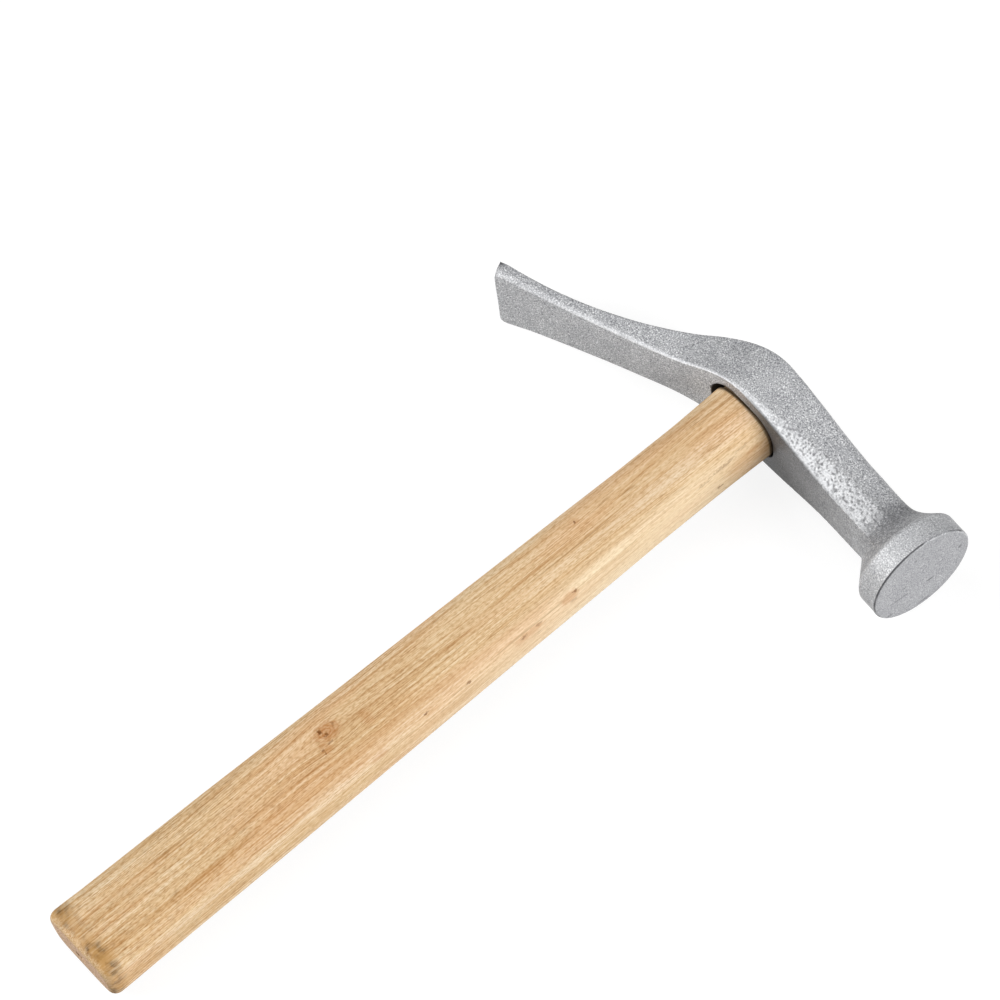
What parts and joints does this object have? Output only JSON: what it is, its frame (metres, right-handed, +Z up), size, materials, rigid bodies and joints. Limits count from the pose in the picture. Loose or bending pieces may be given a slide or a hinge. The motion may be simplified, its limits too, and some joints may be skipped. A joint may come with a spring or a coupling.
{
  "type": "shoemaker's hammer",
  "caption": "Cobbler's hammer with a round flat poll, a drooping flat claw and a wedged wooden handle, for beating and peening leather.",
  "frame": {"origin": "centre of the handle's butt end", "axes": "+Y up the handle from the butt to the head, +X from the claw to the poll, +Z up through the cheeks with the hammer lying on its side"},
  "size_m": [0.1387, 0.2377, 0.0304],
  "materials": {
    "head_paint": "speckled silver paint over rough forged steel",
    "handle_wood": "clear satin varnish on pale open-grained hardwood",
    "wedge_wood": "bare sawn hardwood",
    "wedge_steel": "bare rolled steel"
  },
  "bodies": {
    "root": {"hammer_head": "head_paint", "handle": "handle_wood", "wood_wedge": "wedge_wood", "steel_wedge_front": "wedge_steel", "steel_wedge_back": "wedge_steel"}
  },
  "joints": []
}
